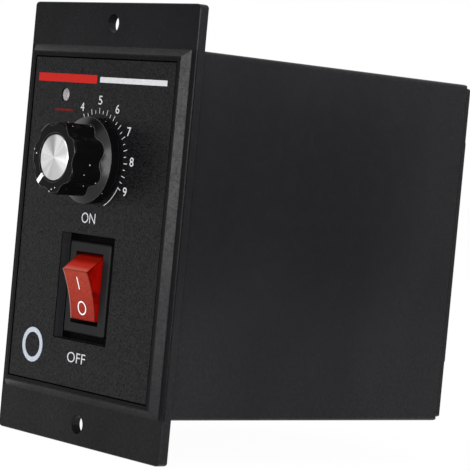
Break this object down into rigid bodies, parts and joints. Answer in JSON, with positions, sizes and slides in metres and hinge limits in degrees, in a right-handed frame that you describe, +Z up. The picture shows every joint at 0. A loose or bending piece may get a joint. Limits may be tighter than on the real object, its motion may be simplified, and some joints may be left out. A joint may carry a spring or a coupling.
{
  "type": "dc motor speed controller",
  "caption": "Panel-mounted DC motor speed controller: a tall black box with a screw-eared front panel, a fluted dial knob, a rocker power switch, a signal lamp and rear screw terminals",
  "frame": {"origin": "centre of the flange's rear face, midway between the two panel screw holes", "axes": "+X to the right as the operator sees the front, +Y into the panel, +Z up"},
  "size_m": [0.065, 0.1161, 0.105],
  "materials": {
    "shell": "satin",
    "label": "fine grain",
    "knob_black": "gloss",
    "spun_alu": "spun",
    "white": "plain",
    "brass": "plain",
    "steel": "plated",
    "board_brown": "plain",
    "switch_black": "plain",
    "rocker_red": "clear with a frosted face",
    "lens": "diffused",
    "board_green": "plain",
    "alu": "plain",
    "core_steel": "laminated",
    "tape_yellow": "tape",
    "can_blue": "sleeve",
    "case_beige": "plain",
    "glass": "clear",
    "wire_red": "insulation",
    "wire_black": "insulation",
    "wire_yellow": "insulation"
  },
  "bodies": {
    "case": {"housing": "shell", "label_plate": "label", "rear_cover": "shell", "cover_screws": "steel", "pot_bush": "steel", "pot_washer": "steel", "pot_nut": "steel", "pot_case": "steel", "pot_track": "board_brown", "switch_frame": "switch_black", "switch_terminals": "steel", "led": "lens", "led_leads": "steel", "led_board": "board_green", "led_board_screws": "steel", "terminal_block": "switch_black", "terminal_contacts": "steel", "terminal_screws": "steel", "main_board": "board_green", "heat_sink": "alu", "power_transistors": "switch_black", "transistor_screws": "steel", "bridge_rectifier": "switch_black", "transformer_core": "core_steel", "transformer_coil": "tape_yellow", "electrolytic_capacitor": "can_blue", "film_capacitors": "case_beige", "varistor": "can_blue", "fuse_tube": "glass", "fuse_clips": "brass", "control_chip": "switch_black", "resistors": "case_beige", "wire_header": "white", "pot_wires": "wire_red", "switch_wires": "wire_black", "led_wires": "wire_yellow"},
    "dial": {"knob": "knob_black", "knob_cap": "spun_alu", "knob_pointer": "white", "knob_insert": "brass", "knob_set_screw": "steel", "pot_shaft": "steel", "pot_wiper": "brass"},
    "rocker_body": {"rocker": "rocker_red", "rocker_plunger": "white", "rocker_spring": "steel"},
    "contact_strip": {"switch_contact": "brass"}
  },
  "joints": [
    {"name": "dial_turn", "type": "hinge", "parent": "case", "child": "dial", "pos_m": [0, 0, 0.01499], "axis": [0, 1, 0], "range_deg": [-13, 287]},
    {"name": "rocker_tilt", "type": "hinge", "parent": "case", "child": "rocker_body", "pos_m": [0, 0, -0.0152], "axis": [-1, 0, 0], "range_deg": [0, 34]},
    {"name": "contact_tilt", "type": "hinge", "parent": "case", "child": "contact_strip", "pos_m": [0, 0.0069, -0.0152], "axis": [-1, 0, 0], "range_deg": [-14, 0]}
  ],
  "couplings": [
    {"joint": "contact_tilt", "follows": "rocker_tilt", "ratio": -0.41}
  ]
}
